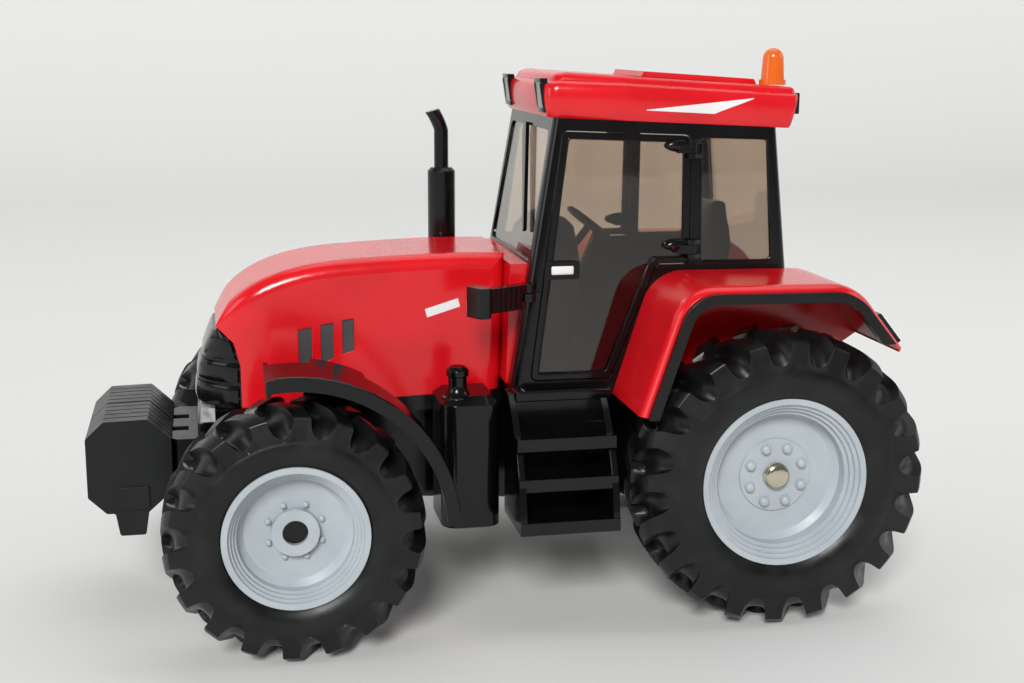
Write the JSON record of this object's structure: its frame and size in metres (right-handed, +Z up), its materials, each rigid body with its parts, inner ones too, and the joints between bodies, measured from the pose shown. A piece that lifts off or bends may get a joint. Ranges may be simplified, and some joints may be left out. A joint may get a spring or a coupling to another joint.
{
  "type": "toy farm tractor",
  "caption": "Moulded plastic toy farm tractor with a hollow glazed cab, hinged doors, steered front wheels, free-rolling lugged wheels and front ballast.",
  "frame": {"origin": "on the floor, at the middle of the length and width of the whole toy", "axes": "+X forward, +Y to the driver's left, +Z up"},
  "size_m": [0.301, 0.175, 0.2074],
  "materials": {
    "red_plastic": "gloss",
    "black_plastic": "gloss",
    "dark_plastic": "satin",
    "grey_rim": "satin",
    "tyre": "satin",
    "smoked_glazing": "gloss",
    "grey_insert": "satin",
    "lamp_grey": "satin",
    "silver_lamp": "gloss",
    "orange_lens": "gloss",
    "bright_steel": "gloss"
  },
  "bodies": {
    "chassis": {"chassis": "black_plastic", "engine_block": "black_plastic", "bonnet": "red_plastic", "bonnet_vents": "grey_insert", "grille": "black_plastic", "headlamps": "silver_lamp", "front_bracket": "dark_plastic", "front_weight": "dark_plastic", "exhaust": "black_plastic", "cab_frame": "black_plastic", "windscreen": "smoked_glazing", "rear_window": "smoked_glazing", "quarter_windows": "smoked_glazing", "cab_floor": "black_plastic", "cowl": "red_plastic", "roof": "red_plastic", "roof_hatch": "red_plastic", "roof_lamps": "lamp_grey", "beacon": "orange_lens", "dashboard": "black_plastic", "steering_wheel": "black_plastic", "seat": "black_plastic", "rear_fender_left": "red_plastic", "rear_fender_right": "red_plastic", "fender_lip_left": "black_plastic", "fender_lip_right": "black_plastic", "steps_left": "black_plastic", "steps_right": "black_plastic", "tank_left": "black_plastic", "tank_right": "black_plastic", "wiper": "black_plastic", "rear_hitch": "dark_plastic", "tail_lamps": "black_plastic", "rear_axle": "bright_steel", "front_axle": "dark_plastic"},
    "knuckle_left": {"knuckle_left": "black_plastic", "front_fender_left": "black_plastic"},
    "knuckle_right": {"knuckle_right": "black_plastic", "front_fender_right": "black_plastic"},
    "tie_rod": {"tie_rod": "dark_plastic"},
    "front_wheel_left": {"front_rim_left": "grey_rim", "front_tyre_left": "tyre"},
    "front_wheel_right": {"front_rim_right": "grey_rim", "front_tyre_right": "tyre"},
    "rear_wheel_left": {"rear_rim_left": "grey_rim", "rear_tyre_left": "tyre"},
    "rear_wheel_right": {"rear_rim_right": "grey_rim", "rear_tyre_right": "tyre"},
    "door_left": {"door_left": "black_plastic", "door_pane_left": "smoked_glazing"},
    "door_right": {"door_right": "black_plastic", "door_pane_right": "smoked_glazing"},
    "mirror_left": {"mirror_left": "black_plastic"},
    "mirror_right": {"mirror_right": "black_plastic"}
  },
  "joints": [
    {"name": "steer_left", "type": "hinge", "parent": "chassis", "child": "knuckle_left", "pos_m": [0.0786, 0.05, 0.045], "axis": [0, 0, 1], "range_deg": [-15, 15]},
    {"name": "steer_right", "type": "hinge", "parent": "chassis", "child": "knuckle_right", "pos_m": [0.0786, -0.05, 0.045], "axis": [0, 0, 1], "range_deg": [-15, 15]},
    {"name": "tie_rod_pivot", "type": "hinge", "parent": "knuckle_left", "child": "tie_rod", "pos_m": [0.0636, 0.05, 0.039], "axis": [0, 0, 1], "range_deg": [-15, 15]},
    {"name": "front_wheel_left_spin", "type": "hinge", "parent": "knuckle_left", "child": "front_wheel_left", "pos_m": [0.0786, 0.072, 0.045], "axis": [0, 1, 0], "continuous": true},
    {"name": "front_wheel_right_spin", "type": "hinge", "parent": "knuckle_right", "child": "front_wheel_right", "pos_m": [0.0786, -0.072, 0.045], "axis": [0, 1, 0], "continuous": true},
    {"name": "rear_wheel_left_spin", "type": "hinge", "parent": "chassis", "child": "rear_wheel_left", "pos_m": [-0.096, 0.072, 0.0545], "axis": [0, 1, 0], "continuous": true},
    {"name": "rear_wheel_right_spin", "type": "hinge", "parent": "chassis", "child": "rear_wheel_right", "pos_m": [-0.096, -0.072, 0.0545], "axis": [0, 1, 0], "continuous": true},
    {"name": "door_left_hinge", "type": "hinge", "parent": "chassis", "child": "door_left", "pos_m": [-0.0713, 0.04419, 0.1501], "axis": [0, -0.041, 0.9992], "range_deg": [0, 20]},
    {"name": "door_right_hinge", "type": "hinge", "parent": "chassis", "child": "door_right", "pos_m": [-0.0713, -0.04419, 0.1501], "axis": [0, -0.041, -0.9992], "range_deg": [0, 20]},
    {"name": "mirror_left_fold", "type": "hinge", "parent": "chassis", "child": "mirror_left", "pos_m": [-0.009, 0.0466, 0.12], "axis": [0, 0, 1], "range_deg": [0, 62]},
    {"name": "mirror_right_fold", "type": "hinge", "parent": "chassis", "child": "mirror_right", "pos_m": [-0.009, -0.0466, 0.12], "axis": [0, 0, -1], "range_deg": [0, 62]}
  ],
  "couplings": [
    {"joint": "steer_right", "follows": "steer_left", "ratio": 1},
    {"joint": "tie_rod_pivot", "follows": "steer_left", "ratio": -1}
  ]
}
